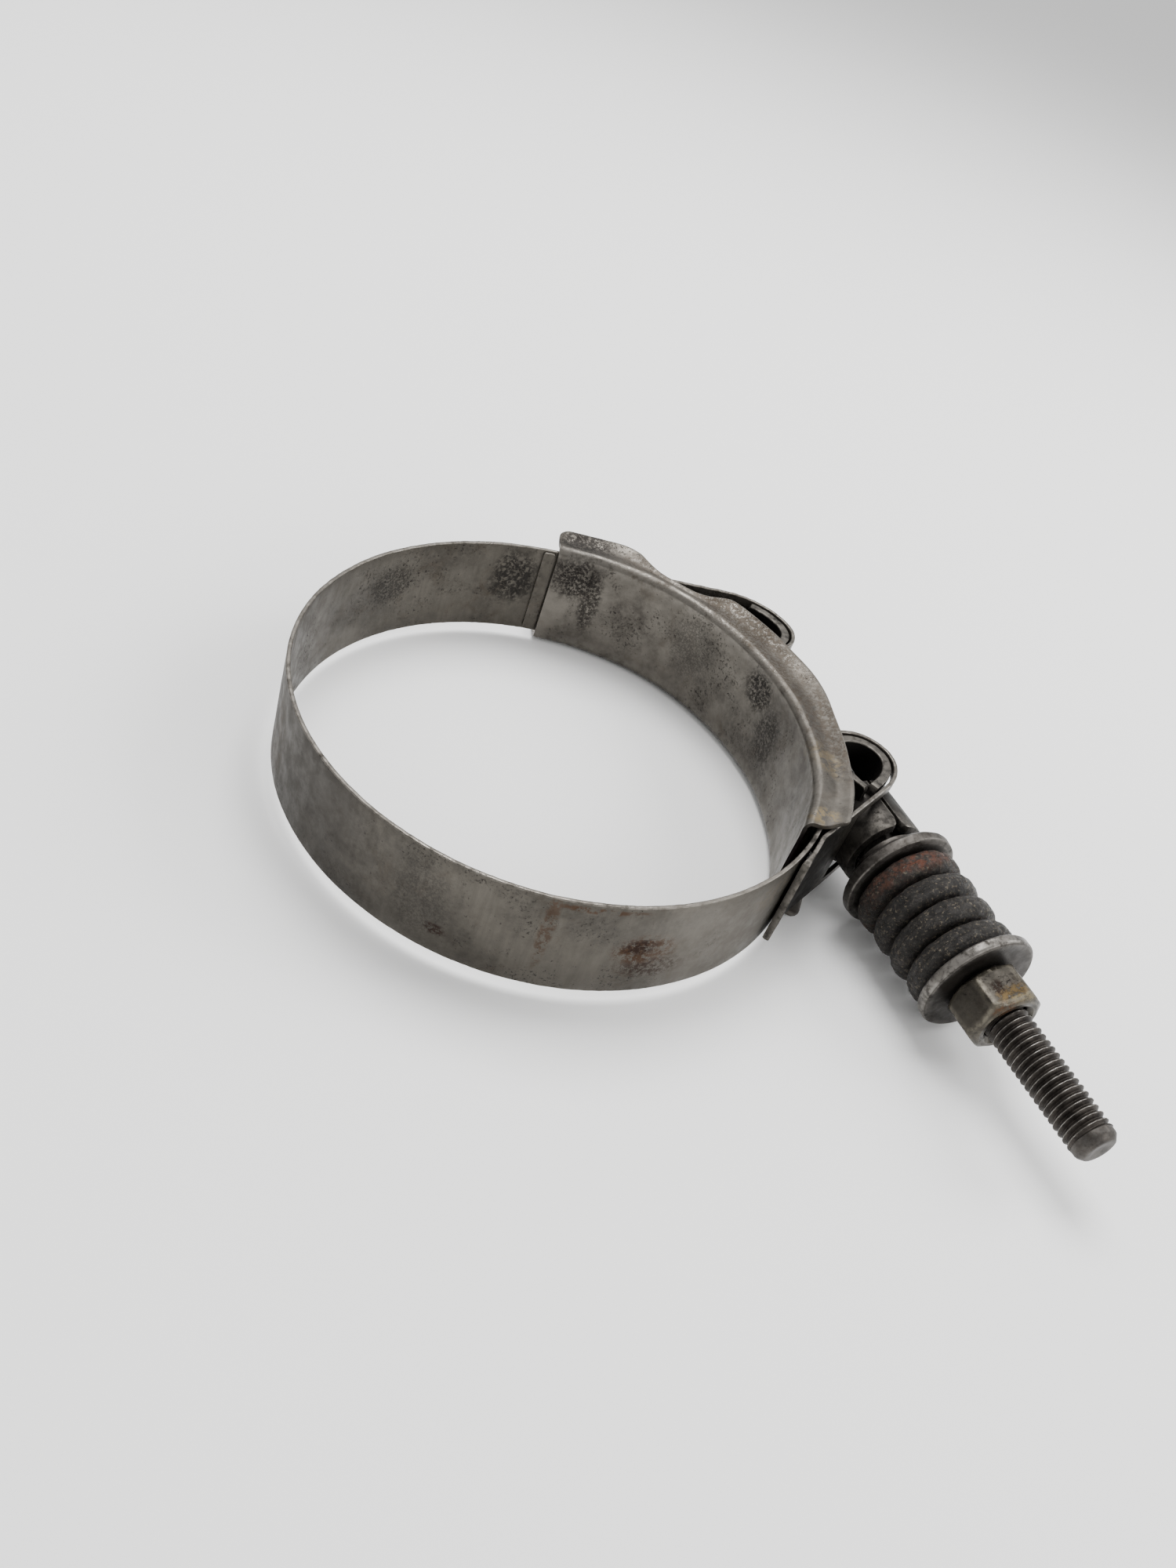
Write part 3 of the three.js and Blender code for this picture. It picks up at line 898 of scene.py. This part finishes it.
def nut_profile(side, face, back):
    """The nut's outline in a direction where its side has this radius, as (radius, y, edge)."""
    drop = max(0.0, side - NUT_CHAMFER_RADIUS) * NUT_CHAMFER_SLOPE
    chamfer = min(NUT_CHAMFER_RADIUS, side)
    middle = (chamfer + side) / 2
    corner_near = max(0.0, (side - 7.0) / 0.42)
    top, bottom = face - drop - NUT_EDGE, back + drop + NUT_EDGE
    profile = [
        (4.15, face - 0.5, 0.3), (4.9, face, 0.5), (5.3, face, 0.0), (chamfer - 0.1, face, 0.4),
        (chamfer, face - 0.03, 0.8), (middle, face - drop / 2 - 0.03, 0.2),
        (side - 0.08, top + NUT_EDGE, 0.9), (side, top, 0.9),
    ]
    for k in range(1, 9):
        profile.append((side, top + (bottom - top) * k / 9, corner_near))
    profile += [
        (side, bottom, 0.9), (side - 0.08, bottom - NUT_EDGE, 0.9),
        (middle, back + drop / 2 + 0.03, 0.2), (chamfer, back + 0.03, 0.8), (chamfer - 0.1, back, 0.4),
        (5.3, back, 0.0), (4.95, back, 0.5), (4.15, back + 0.75, 0.3),
    ]
    return profile


def make_nut():
    """A hexagon nut, chamfered on both faces, with dented sides."""
    face, back = span_y("hex_nut")
    sections, edges = [], []
    for i in range(NUT_SEGMENTS):
        degrees = i * 360 / NUT_SEGMENTS
        a = math.radians(degrees)
        ring = []
        for r, y, edge in nut_profile(nut_radius(degrees), face, back):
            x, z = math.cos(a) * r, -math.sin(a) * r
            push = 0.05 * wobble(x, y, z, 2.5, 11.0) + 0.03 * wobble(x, y, z, 0.9, 12.0)
            grown = 1 + (push - 0.05) / r
            ring.append((BOLT_X + x * grown, y, z * grown))
            edges.append(edge)
        sections.append(ring)
    return loft("hex_nut_body", sections, closed=True, smooth_angle=30, attributes={"edge": edges})


# ---- finishes ----


class Finish:
    """A node material under construction. Sizes of features are given in millimetres."""

    def __init__(self, name, roughness, metallic):
        self.material = bpy.data.materials.new(name)
        self.material.use_nodes = True
        self.tree = self.material.node_tree
        self.shader = self.tree.nodes["Principled BSDF"]
        self.shader.inputs["Metallic"].default_value = metallic
        self.shader.inputs["Roughness"].default_value = roughness
        self.coordinates = self.tree.nodes.new("ShaderNodeTexCoord").outputs["Object"]
        self.colour = None
        self.roughness = None
        self.height = None

    def node(self, kind, **settings):
        made = self.tree.nodes.new("ShaderNode" + kind)
        for key, value in settings.items():
            setattr(made, key, value)
        return made

    def link(self, output, target):
        self.tree.links.new(output, target)

    def noise(self, size, detail=4.0, rough=0.6, stretch=(1, 1, 1), seed=0.0, distortion=0.0):
        mapping = self.node("Mapping")
        mapping.inputs["Scale"].default_value = [s / (size * MM) for s in stretch]
        mapping.inputs["Location"].default_value = (seed, seed * 1.7, -seed)
        self.link(self.coordinates, mapping.inputs["Vector"])
        made = self.node("TexNoise")
        made.inputs["Scale"].default_value = 1.0
        made.inputs["Detail"].default_value = detail
        made.inputs["Roughness"].default_value = rough
        made.inputs["Distortion"].default_value = distortion
        self.link(mapping.outputs["Vector"], made.inputs["Vector"])
        return made.outputs["Fac"]

    def ramp(self, value, low, high, out_low=0.0, out_high=1.0):
        made = self.node("MapRange", clamp=True, interpolation_type="SMOOTHSTEP")
        for key, number in zip(
            ("From Min", "From Max", "To Min", "To Max"), (low, high, out_low, out_high)
        ):
            made.inputs[key].default_value = number
        self.link(value, made.inputs["Value"])
        return made.outputs["Result"]

    def math(self, operation, a, b):
        made = self.node("Math", operation=operation)
        for socket, value in zip(made.inputs, (a, b)):
            if isinstance(value, (int, float)):
                socket.default_value = value
            else:
                self.link(value, socket)
        return made.outputs["Value"]

    def times(self, a, b):
        return self.math("MULTIPLY", a, b)

    def mix(self, share, a, b):
        made = self.node("Mix", data_type="RGBA", blend_type="MIX")
        sockets = {"Factor": made.inputs[0], "A": made.inputs[6], "B": made.inputs[7]}
        for key, value in (("Factor", share), ("A", a), ("B", b)):
            if isinstance(value, (int, float)):
                sockets[key].default_value = value
            elif isinstance(value, tuple):
                sockets[key].default_value = (*value, 1.0)
            else:
                self.link(value, sockets[key])
        return made.outputs[2]

    def attribute(self, name):
        return self.node("Attribute", attribute_name=name).outputs["Fac"]

    def patch(self, centre, size, softness=0.4, uneven=0.5, seed=0.0):
        """A soft patch round a place of the ring's frame, in millimetres, with a ragged edge."""
        mapping = self.node("Mapping", vector_type="POINT")
        at = place(*centre)
        scale = [1 / (s * MM) for s in size]
        mapping.inputs["Scale"].default_value = scale
        mapping.inputs["Location"].default_value = [-a * s for a, s in zip(at, scale)]
        self.link(self.coordinates, mapping.inputs["Vector"])
        length = self.node("VectorMath", operation="LENGTH")
        self.link(mapping.outputs["Vector"], length.inputs[0])
        ragged = self.math("MULTIPLY_ADD", self.noise(1.6, 5, 0.7, seed=seed), uneven * 2)
        ragged.node.inputs[2].default_value = -uneven
        distance = self.math("ADD", length.outputs["Value"], ragged)
        return self.ramp(distance, 1 - softness, 1 + softness, 1.0, 0.0)

    def finish(self, bump=0.3, distance=0.1):
        self.link(self.colour, self.shader.inputs["Base Color"])
        if self.roughness is not None:
            self.link(self.roughness, self.shader.inputs["Roughness"])
        if self.height is not None:
            made = self.node("Bump")
            made.inputs["Strength"].default_value = bump
            made.inputs["Distance"].default_value = distance * MM
            self.link(self.height, made.inputs["Height"])
            self.link(made.outputs["Normal"], self.shader.inputs["Normal"])
        return self.material


PIT_BLACK = (0.012, 0.010, 0.009)


def steel_tone(f, light, dark, grime, stain, brushed, seed):
    """A cloudy tone with fine flecks, drawn lines on a brushed sheet, and a film of grime."""
    cloud = f.ramp(f.noise(14, 5, 0.6, seed=seed), 0.36, 0.66)
    fine = f.ramp(f.noise(1.3, 6, 0.72, seed=seed + 3), 0.32, 0.7)
    tone = f.mix(cloud, dark, light)
    tone = f.mix(f.times(fine, 0.5), tone, light)
    if brushed:
        lines = f.ramp(f.noise(0.9, 3, 0.6, stretch=brushed, seed=seed + 1), 0.3, 0.75)
        tone = f.mix(f.times(lines, 0.35), tone, dark)
    film = f.ramp(f.noise(7, 6, 0.7, seed=seed + 9, distortion=0.6), 0.52, 0.72)
    tone = f.mix(f.times(film, stain), tone, grime)
    inside = f.times(f.attribute("inside"), 0.75)
    return f.mix(inside, tone, PIT_BLACK)


def steel_pits(f, pits, seed):
    """Dark pits, most of them in clusters and a few on their own."""
    clusters = f.ramp(f.noise(9, 3, 0.55, seed=seed + 17), 0.47, 0.62)
    specks = f.ramp(f.noise(0.6, 5, 0.8, seed=seed + 21), 0.54, 0.62)
    sparse = f.ramp(f.noise(0.55, 2, 0.5, seed=seed + 29), 0.7, 0.76)
    pitted = f.math("MAXIMUM", f.times(clusters, specks), f.times(sparse, 0.8))
    return f.times(pitted, pits)


def steel_patches(f, tone, pitted, patches, seed):
    """A patch is (centre, size, colour, strength, grain). A small grain makes a cluster of pits, and
    none a solid patch; the band's solid patches are painted shade and painted highlight."""
    for centre, size, colour, strength, grain in patches:
        spot = f.patch(centre, size, seed=seed + 31 + size[0])
        if grain:
            broken = f.ramp(f.noise(grain, 6, 0.78, seed=seed + 37 + size[0]), 0.44, 0.53)
            spot = f.times(spot, broken)
        spot = f.times(spot, strength)
        tone = f.mix(spot, tone, colour)
        pitted = f.math("MAXIMUM", pitted, f.times(spot, 0.7))
    return tone, pitted


def worn_steel(
    name, light, dark, grime, edge, pits=0.5, stain=0.5, roughness=0.42, seed=0.0, brushed=None,
    patches=(),
):
    """Dull sheet steel with a film of grime, dark pits, patches and bright rubbed edges. Some band
    patches are painted shade and painted highlight, and on the bridge the edge mark also paints a
    highlight along the bend.
    """
    f = Finish(name, roughness, 0.85)
    tone = steel_tone(f, light, dark, grime, stain, brushed, seed)
    pitted = steel_pits(f, pits, seed)
    tone = f.mix(pitted, tone, PIT_BLACK)
    tone, pitted = steel_patches(f, tone, pitted, patches, seed)
    # The edge mark: rubbed edges, and on the bridge a painted highlight along the bend.
    edge_mark = f.attribute("edge")
    edge_mark = f.times(edge_mark, f.ramp(f.noise(2.2, 4, 0.7, seed=seed + 5), 0.3, 0.62))
    f.colour = f.mix(f.times(edge_mark, 0.8), tone, edge)
    gloss = f.ramp(f.noise(4, 5, 0.65, seed=seed + 13), 0.3, 0.7, roughness - 0.09, roughness + 0.12)
    gloss = f.math("ADD", gloss, f.times(pitted, 0.3))
    f.roughness = f.math("SUBTRACT", gloss, f.times(edge_mark, 0.12))
    grain = f.times(f.noise(0.35, 3, 0.6, seed=seed + 2), 0.25)
    dents = f.times(f.noise(3.5, 3, 0.5, seed=seed + 19), 0.5)
    f.height = f.math("SUBTRACT", f.math("ADD", grain, dents), pitted)
    return f.finish(0.35)


def crusted_steel(name, base, crust, rust, share, seed=0.0, patches=()):
    """Spring steel under black grime, with rusty flecks and a coarse, dull crust."""
    f = Finish(name, 0.6, 0.5)
    coarse = f.ramp(f.noise(2.6, 6, 0.72, seed=seed), 0.36, 0.64)
    tone = f.mix(coarse, base, crust)
    flecks = f.ramp(f.noise(0.6, 6, 0.8, seed=seed + 4), 0.55, 0.62)
    tone = f.mix(f.times(flecks, 0.9), tone, (0.15, 0.125, 0.09))
    rusty = f.ramp(
        f.noise(1.9, 6, 0.75, seed=seed + 8, distortion=0.5), 0.6 - share * 0.22, 0.74 - share * 0.2,
    )
    tone = f.mix(f.times(rusty, 0.35 + 0.4 * share), tone, rust)
    for centre, size, colour, strength in patches:
        spot = f.patch(centre, size, seed=seed + 31 + size[0])
        broken = f.ramp(f.noise(1.1, 6, 0.75, seed=seed + 40), 0.42, 0.58)
        tone = f.mix(f.times(f.times(spot, broken), strength), tone, colour)
    rubbed = f.ramp(f.noise(1.8, 5, 0.7, seed=seed + 5), 0.42, 0.66)
    edge_mark = f.times(f.attribute("edge"), rubbed)
    f.colour = f.mix(f.times(edge_mark, 0.35), tone, (0.055, 0.05, 0.045))
    f.roughness = f.ramp(f.noise(1.4, 5, 0.7, seed=seed + 6), 0.3, 0.7, 0.36, 0.75)
    f.height = f.math("ADD", f.noise(0.9, 6, 0.75, seed=seed + 7), f.times(rusty, 0.35))
    return f.finish(1.0, 0.42)


def thread_steel(name, seed=0.0):
    """Brown-black grooves and thin rubbed crests."""
    f = Finish(name, 0.4, 0.8)
    soiled = f.ramp(f.noise(2.0, 5, 0.7, seed=seed), 0.35, 0.65)
    groove = f.mix(soiled, (0.016, 0.013, 0.011), (0.05, 0.043, 0.037))
    rubbed = f.ramp(f.noise(1.5, 5, 0.7, seed=seed + 3), 0.35, 0.7)
    crest = f.mix(rubbed, (0.08, 0.073, 0.066), (0.22, 0.21, 0.195))
    top = f.ramp(f.attribute("edge"), 0.3, 0.95)
    f.colour = f.mix(top, groove, crest)
    f.roughness = f.ramp(top, 0.0, 1.0, 0.55, 0.36)
    f.height = f.noise(0.5, 5, 0.7, seed=seed + 6)
    return f.finish(0.25, 0.06)


GREY_LIGHT, GREY_DARK = (0.098, 0.089, 0.075), (0.050, 0.045, 0.038)
BRIDGE_LIGHT, BRIDGE_DARK = (0.130, 0.119, 0.103), (0.056, 0.050, 0.043)
BROWN = (0.048, 0.036, 0.025)
SOOT = (0.020, 0.018, 0.016)
RUST_DARK = (0.022, 0.010, 0.006)
RUST_BROWN = (0.055, 0.028, 0.014)
RUST_ORANGE = (0.082, 0.024, 0.010)
OCHRE = (0.20, 0.15, 0.075)


def on_band(angle, z, outside=True):
    """A place on the band's outer or inner face."""
    radius = BAND_RADIUS + BAND_THICKNESS / 2 * (1 if outside else -1)
    p = polar(radius, angle)
    return p.x, p.y, z


def on_bridge(angle, z, radius=47.6):
    """A place on the bridge's web, or further out on its flange."""
    p = polar(radius, angle)
    return p.x, p.y, z


def make_materials():
    band = [
        (on_band(-95, 0), (5.2, 5.2, 3.2), RUST_BROWN, 0.95, 1.3),
        (on_band(-96.5, 1), (3.0, 3.0, 1.8), RUST_DARK, 1.0, 0.8),
        (on_band(-92, -4), (6, 6, 2.4), RUST_DARK, 0.85, 0.8),
        (on_band(-134, -5), (1.7, 1.7, 1.1), RUST_DARK, 0.9, 0.5),
        (on_band(-108, 8.8), (9, 3, 0.6), RUST_BROWN, 0.8, 1.8),
        (on_band(-115, 3), (1.0, 1.6, 8), RUST_BROWN, 0.6, 1.6),
        (on_band(-66, 5), (5, 5, 3), OCHRE, 0.25, 1.6),
        # Painted shade: a near-black patch over the near tail's outer face and end, where it lies in
        # shadow.
        ((38, -42, -3), (13.5, 9.0, 30), (0.009, 0.008, 0.007), 1.0, 0),
        # Painted shade: a broad darker film over the band's left side.
        (on_band(180, 0), (14, 30, 40), (0.036, 0.032, 0.028), 0.6, 0),
        # Painted highlight: a broad lighter patch on the band's front right.
        (on_band(-76, 0), (13, 10, 26), (0.155, 0.142, 0.122), 0.45, 0),
        (on_band(-138, 0), (5, 5, 8), SOOT, 0.35, 0.5),
        (on_band(172, -2), (5, 5, 9), BROWN, 0.6, 2.5),
        (on_band(79, 2.5, False), (4.5, 4.5, 6), SOOT, 0.95, 1.0),
        (on_band(112, 2, False), (5, 5, 4), SOOT, 0.7, 0.5),
    ]
    bridge = [
        ((34.5, -35, 11), (3.0, 2.0, 3.0), OCHRE, 0.7, 2.5),
        ((43.5, -21, 11), (2.4, 5, 3.0), OCHRE, 0.35, 2.0),
        (on_bridge(64, 6), (5, 4, 5), PIT_BLACK, 0.9, 0.7),
        (on_bridge(59, 1), (2.0, 2.0, 7), PIT_BLACK, 0.8, 0.7),
        (on_bridge(30, 2), (4, 6, 7), SOOT, 0.4, 0.4),
        (on_bridge(6, 6, 46), (4, 4, 4), PIT_BLACK, 0.9, 0.7),
        (on_bridge(-3, 0, 46), (4, 4, 6), PIT_BLACK, 0.7, 0.6),
        (on_bridge(64, 11.5, 53), (6, 4, 2), SOOT, 0.9, 0.8),
        (on_bridge(48, 11.5, 50), (7, 7, 1.6), BROWN, 0.5, 1.0),
        (on_bridge(22, 11.8, 51), (8, 22, 1.2), BROWN, 0.75, 0.7),
        (on_bridge(-12, 11.8, 50), (6, 16, 1.2), BROWN, 0.6, 1.0),
    ]
    face = span_y("hex_nut")[1]
    nut = [
        ((BOLT_X - 1.2, face + 1.8, 6.3), (3.4, 1.5, 1.8), (0.10, 0.066, 0.026), 0.8, 0.9),
        ((BOLT_X - 3.4, face + 0.3, 4.6), (2.0, 0.9, 1.6), (0.085, 0.036, 0.014), 0.9, 0.9),
        ((BOLT_X + 0.5, face + 0.9, 5.8), (2.6, 0.6, 1.2), (0.21, 0.175, 0.10), 0.8, 0.8),
        ((BOLT_X - 3.0, face + 3.8, 6.0), (1.1, 1.4, 1.1), (0.016, 0.008, 0.005), 0.9, 0.8),
    ]
    return {
        "band": worn_steel(
            "band_finish", GREY_LIGHT, GREY_DARK, BROWN, (0.19, 0.175, 0.155), pits=0.8,
            seed=1.0, brushed=(1, 1, 0.12), patches=band,
        ),
        # The bridge's edge colour also paints the highlight along the bend between web and flange.
        "bridge": worn_steel(
            "bridge_finish", BRIDGE_LIGHT, BRIDGE_DARK, BROWN, (0.20, 0.186, 0.165),
            pits=0.8, stain=0.4, roughness=0.4, seed=7.0, patches=bridge,
        ),
        # The trunnion tones are dark steel, made darker still as painted shade for the shadow the sleeve
        # lies in; the rolls and the bolt head share them.
        "trunnion": worn_steel(
            "trunnion_finish", (0.030, 0.027, 0.0235), (0.011, 0.0095, 0.0085), (0.010, 0.008, 0.0065),
            (0.13, 0.12, 0.105), pits=0.8, stain=0.7, roughness=0.54, seed=12.0,
        ),
        "washer": worn_steel(
            "washer_finish", (0.034, 0.029, 0.025), (0.014, 0.012, 0.010), (0.013, 0.009, 0.007),
            (0.24, 0.225, 0.205), pits=0.6, stain=0.6, roughness=0.52, seed=16.0,
        ),
        "nut": worn_steel(
            "nut_finish", (0.055, 0.049, 0.040), (0.025, 0.022, 0.018), (0.018, 0.013, 0.008),
            (0.15, 0.135, 0.105), pits=0.8, stain=0.55, roughness=0.42, seed=21.0,
            patches=nut,
        ),
        "thread": thread_steel("thread_finish", 25.0),
    }


# ---- stage ----


def make_floor():
    """A pale sheet under the clamp."""
    size = 3.0
    mesh = bpy.data.meshes.new("floor")
    mesh.from_pydata(
        [(-size, -size, 0), (size, -size, 0), (size, size, 0), (-size, size, 0)], [], [(0, 1, 2, 3)],
    )
    floor = bpy.data.objects.new("floor", mesh)
    bpy.context.scene.collection.objects.link(floor)
    material = bpy.data.materials.new("floor_paper")
    material.use_nodes = True
    shader = material.node_tree.nodes["Principled BSDF"]
    shader.inputs["Base Color"].default_value = (0.94, 0.94, 0.935, 1)
    shader.inputs["Roughness"].default_value = 0.9
    shader.inputs["Specular IOR Level"].default_value = 0.1
    mesh.materials.append(material)


def area_light(name, location, size, power, target=(0, 0, 0.01)):
    data = bpy.data.lights.new(name, "AREA")
    data.shape = "RECTANGLE"
    data.size, data.size_y = size
    data.energy = power
    light = bpy.data.objects.new(name, data)
    light.location = location
    light.rotation_mode = "QUATERNION"
    light.rotation_quaternion = (Vector(target) - Vector(location)).to_track_quat("-Z", "Y")
    bpy.context.scene.collection.objects.link(light)


def make_lights():
    world = bpy.data.worlds.new("studio")
    world.use_nodes = True
    world.node_tree.nodes["Background"].inputs["Color"].default_value = (1, 1, 1, 1)
    world.node_tree.nodes["Background"].inputs["Strength"].default_value = 0.85
    bpy.context.scene.world = world
    area_light("key", (0.1, 0.35, 0.8), (0.5, 0.5), 9)
    area_light("side", (0.65, -0.1, 0.5), (0.4, 0.4), 4)
    area_light("front", (0.35, -0.75, 0.45), (0.6, 0.35), 3.5)


CAMERA_PLACE = (-107.91, -156.24, 145.95)
CAMERA_AZIMUTH, CAMERA_ELEVATION, CAMERA_ROLL = -37.16, 38.81, 21.09
CAMERA_LENS = 30.03


def make_camera():
    data = bpy.data.cameras.new("camera")
    data.sensor_width = 36
    data.lens = CAMERA_LENS
    data.clip_start, data.clip_end = 0.005, 20
    camera = bpy.data.objects.new("camera", data)
    bpy.context.scene.collection.objects.link(camera)
    azimuth, elevation, roll = map(math.radians, (CAMERA_AZIMUTH, CAMERA_ELEVATION, CAMERA_ROLL))
    back = Vector((
        math.sin(azimuth) * math.cos(elevation), -math.cos(azimuth) * math.cos(elevation),
        math.sin(elevation),
    ))
    level = Vector((0, 0, 1)).cross(back).normalized()
    upright = back.cross(level)
    right = level * math.cos(roll) + upright * math.sin(roll)
    up = upright * math.cos(roll) - level * math.sin(roll)
    turn = Matrix((right, up, back)).transposed().to_4x4()
    camera.matrix_world = Matrix.Translation(place(*CAMERA_PLACE)) @ turn
    bpy.context.scene.camera = camera


# ---- the assembled scene ----


def finish_piece(piece, material, nodes=(), body=None):
    """Gives a piece its finish, the CAD nodes it stands for and the body it moves with."""
    piece.data.materials.clear()
    piece.data.materials.append(material)
    if nodes:
        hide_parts(*nodes)
    if body:
        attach(piece, body)


def disc_material(number):
    """The first pair is rustier than the others and has two rusty patches."""
    pair, name = (number + 1) // 2, f"disc_finish_{number}"
    if pair > 1:
        return crusted_steel(
            name, (0.015, 0.013, 0.0112), (0.006, 0.0052, 0.0046), (0.048, 0.025, 0.014),
            max(0.05, 0.4 - 0.1 * pair), seed=50.0 + number * 3,
        )
    y = span_y("disc_spring_1")[1]
    spots = [
        ((BOLT_X - 4, y, 9.5), (7.0, 1.9, 3.0), RUST_ORANGE, 0.95),
        ((BOLT_X - 8, y, 4.0), (3.5, 1.9, 5.0), (0.085, 0.032, 0.018), 0.7),
    ]
    return crusted_steel(
        name, (0.017, 0.0135, 0.011), (0.007, 0.006, 0.005), (0.050, 0.022, 0.012), 0.5,
        seed=50.0 + number, patches=spots,
    )


def add_band_and_bridge(looks):
    band = make_band()
    finish_piece(band, looks["band"], ("band_far_segment", "band_near_segment"))
    bend_band(band)
    finish_piece(make_lap(), looks["band"], body="far_band")
    finish_piece(make_bridge(), looks["bridge"], ("bridge",), "far_band")


def add_trunnions(look):
    finish_piece(make_bolt_trunnion(), look, ("bolt_trunnion",), "far_band")
    finish_piece(make_nut_trunnion(), look, ("nut_trunnion",), "nut_barrel")
    _, end = span_y("nut_trunnion")
    right = sleeve_half("sleeve_right", 1, end, 1.0)
    finish_piece(right, look, body="nut_barrel")
    left = sleeve_half("sleeve_left", -1, end + SLEEVE_LEFT_SHORTER, 2.0)
    finish_piece(left, look, body="nut_barrel")


def add_bolt_and_stack(looks):
    finish_piece(make_bolt(), looks["thread"], ("t_bolt",), "bolt")
    finish_piece(make_bolt_head(), looks["trunnion"], body="bolt")
    finish_piece(make_seat_washer(), looks["washer"], ("seat_washer",), "seat")
    for number in range(1, 9):
        disc = make_disc(number)
        body = f"disc_pair_{(number + 1) // 2}"
        finish_piece(disc, disc_material(number), (f"disc_spring_{number}",), body)
    finish_piece(make_outer_washer(), looks["washer"], ("outer_washer",), "outer_ring")
    finish_piece(make_nut(), looks["nut"], ("hex_nut",), "nut")


def main():
    looks = make_materials()
    add_band_and_bridge(looks)
    add_trunnions(looks["trunnion"])
    add_bolt_and_stack(looks)
    make_floor()
    make_lights()
    make_camera()


main()
